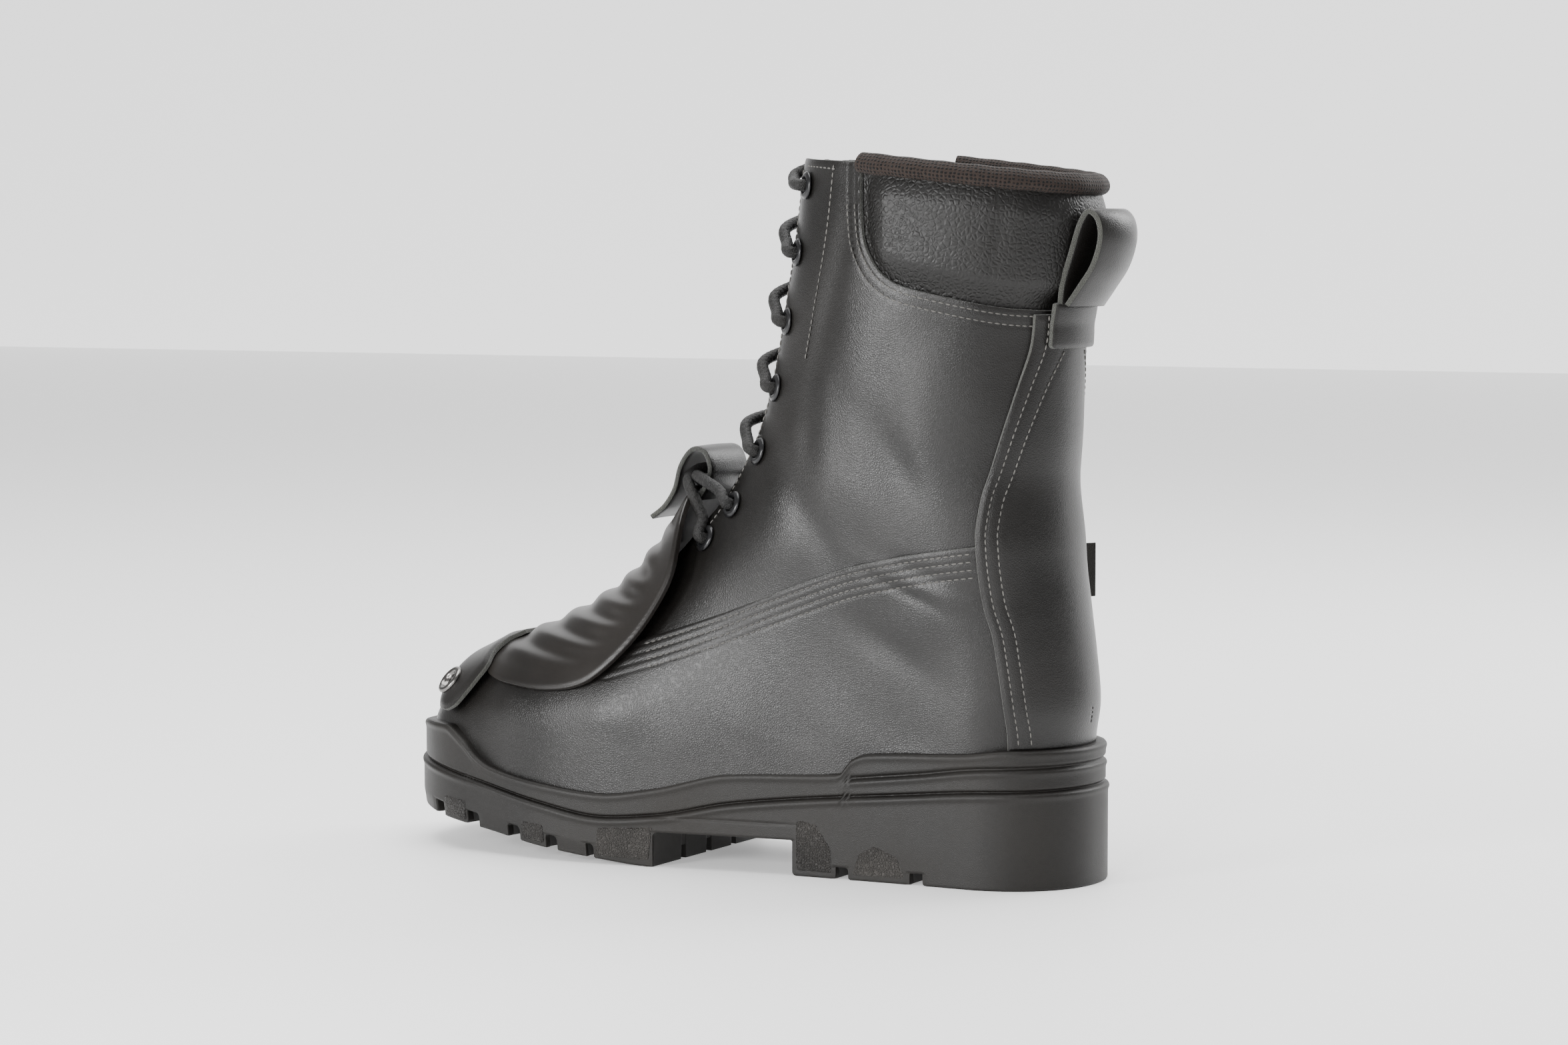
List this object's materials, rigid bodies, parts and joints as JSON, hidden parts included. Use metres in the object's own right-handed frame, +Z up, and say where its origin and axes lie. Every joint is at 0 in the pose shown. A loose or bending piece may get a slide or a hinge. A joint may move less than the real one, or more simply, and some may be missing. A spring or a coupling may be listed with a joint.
{
  "type": "fire boot",
  "caption": "Left 10-inch black leather lace-up fire and safety boot with padded collar, ribbed metatarsal guard, pull loop and lugged rubber sole.",
  "frame": {"origin": "on the flat tread of the heel, in the middle of the heel's width", "axes": "+Y points to the toe, +X to the wearer's right and +Z up out of the shaft"},
  "size_m": [0.1149, 0.3375, 0.301],
  "materials": {
    "smooth_leather": "satin, fine grain",
    "pebbled_leather": "satin, pebbled grain",
    "sole_rubber": "matt, lightly scuffed",
    "midsole": "satin moulded",
    "guard_rubber": "satin moulded",
    "mesh_binding": "open mesh knit",
    "lining": "brushed fabric",
    "lace_braid": "coarse round braid",
    "woven_label": "woven tape",
    "lacquered_metal": "satin black lacquer",
    "foam": "open cell",
    "board": "fibre board",
    "woven_plate": "pressed ballistic fabric",
    "footbed_foam": "fabric-faced foam",
    "cap_plastic": "moulded composite",
    "spring_steel": "rolled"
  },
  "bodies": {
    "boot": {"outsole": "sole_rubber", "midsole": "midsole", "quarter_left": "smooth_leather", "quarter_right": "smooth_leather", "facing_left": "smooth_leather", "facing_right": "smooth_leather", "vamp": "smooth_leather", "backstay": "smooth_leather", "collar_panel": "pebbled_leather", "collar_foam": "foam", "lining": "lining", "tongue": "pebbled_leather", "toe_cap": "cap_plastic", "heel_counter": "board", "collar_binding": "mesh_binding", "pull_loop_tab": "smooth_leather", "lace": "lace_braid", "insole_board": "board", "puncture_plate": "woven_plate", "footbed": "footbed_foam", "shank": "spring_steel", "eyelet_left_1": "lacquered_metal", "eyelet_right_1": "lacquered_metal", "eyelet_left_2": "lacquered_metal", "eyelet_right_2": "lacquered_metal", "eyelet_left_3": "lacquered_metal", "eyelet_right_3": "lacquered_metal", "eyelet_left_4": "lacquered_metal", "eyelet_right_4": "lacquered_metal", "eyelet_left_5": "lacquered_metal", "eyelet_right_5": "lacquered_metal", "eyelet_left_6": "lacquered_metal", "eyelet_right_6": "lacquered_metal", "eyelet_left_7": "lacquered_metal", "eyelet_right_7": "lacquered_metal"},
    "guard": {"guard_shell": "guard_rubber", "guard_lace_loop": "smooth_leather", "guard_toe_strap": "smooth_leather", "guard_rivet_left": "lacquered_metal", "guard_rivet_right": "lacquered_metal"},
    "pull_loop_body": {"pull_loop": "smooth_leather"},
    "label_body": {"label": "woven_label"}
  },
  "joints": [
    {"name": "guard_lift", "type": "hinge", "parent": "boot", "child": "guard", "pos_m": [0.005, 0.239, 0.0727], "axis": [-1, 0, 0], "range_deg": [0, 6], "stiffness_Nm_per_rad": 0.8, "deforming": ["lace"]},
    {"name": "pull_loop_swing", "type": "hinge", "parent": "boot", "child": "pull_loop_body", "pos_m": [0, -0.0531, 0.2402], "axis": [1, 0, 0], "range_deg": [0, 55], "stiffness_Nm_per_rad": 0.05},
    {"name": "label_swing", "type": "hinge", "parent": "boot", "child": "label_body", "pos_m": [0.0387, -0.0218, 0.1258], "axis": [0, 0, 1], "range_deg": [-40, 40], "stiffness_Nm_per_rad": 0.002}
  ]
}
